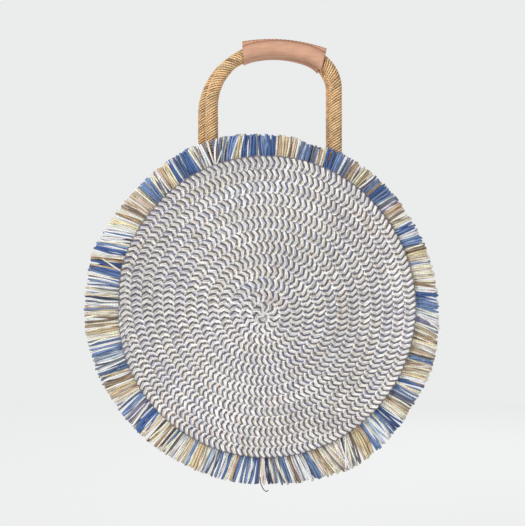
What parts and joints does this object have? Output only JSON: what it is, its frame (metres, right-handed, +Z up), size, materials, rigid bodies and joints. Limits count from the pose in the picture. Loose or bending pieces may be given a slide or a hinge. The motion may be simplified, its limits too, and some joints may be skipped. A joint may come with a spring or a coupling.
{
  "type": "circle bag",
  "caption": "Round woven shoulder bag with a yarn fringe, a lining with a slip pocket and a snap, and two rope handles with leather grips that fold down.",
  "frame": {"origin": "the point it hangs from: under the highest point of the grips' undersides, midway between the two grips", "axes": "+Z up; -Y towards the viewer, out of the front panel; +X to the viewer's right"},
  "size_m": [0.4451, 0.0698, 0.5651],
  "materials": {
    "cotton_plait": "flat three-strand plait, marled cream and blue-grey",
    "yarn_fringe": "cut yarn ends in blue, cream, tan and slate",
    "cotton_tape": "woven tape",
    "lining": "plain cotton",
    "pocket": "plain cotton",
    "binding": "blue cotton binding",
    "snap": "polished",
    "washer": "brushed",
    "thread": "cotton thread",
    "rope_core": "cotton rope",
    "twine": "fine jute twine, close wound",
    "leather": "peach-tan, smooth",
    "leather_thread": "waxed thread"
  },
  "bodies": {
    "bag": {"front_panel": "cotton_plait", "back_panel": "cotton_plait", "rim_fringe": "yarn_fringe", "rim_tape": "cotton_tape", "front_mouth_fringe": "yarn_fringe", "front_mouth_tape": "cotton_tape", "back_mouth_fringe": "yarn_fringe", "back_mouth_tape": "cotton_tape", "front_leg_tufts": "yarn_fringe", "back_leg_tufts": "yarn_fringe", "front_lining": "lining", "back_lining": "lining", "front_mouth_hem": "lining", "back_mouth_hem": "lining", "slip_pocket": "pocket", "pocket_binding": "binding", "snap_male": "snap", "snap_female": "snap", "male_washer": "washer", "female_washer": "washer", "rim_stitches": "thread", "front_handle_ends": "twine", "back_handle_ends": "twine"},
    "front_handle": {"front_rope_core": "rope_core", "front_rope_winding": "twine", "front_grip": "leather", "front_grip_stitches": "leather_thread"},
    "back_handle": {"back_rope_core": "rope_core", "back_rope_winding": "twine", "back_grip": "leather", "back_grip_stitches": "leather_thread"}
  },
  "joints": [
    {"name": "front_handle_fold", "type": "hinge", "parent": "bag", "child": "front_handle", "pos_m": [0, -0.0107, -0.1264], "axis": [1, 0, 0], "range_deg": [0, 100], "deforming": ["front_leg_tufts"]},
    {"name": "back_handle_fold", "type": "hinge", "parent": "bag", "child": "back_handle", "pos_m": [0, 0.0107, -0.1264], "axis": [-1, 0, 0], "range_deg": [0, 100], "deforming": ["back_leg_tufts"]}
  ]
}
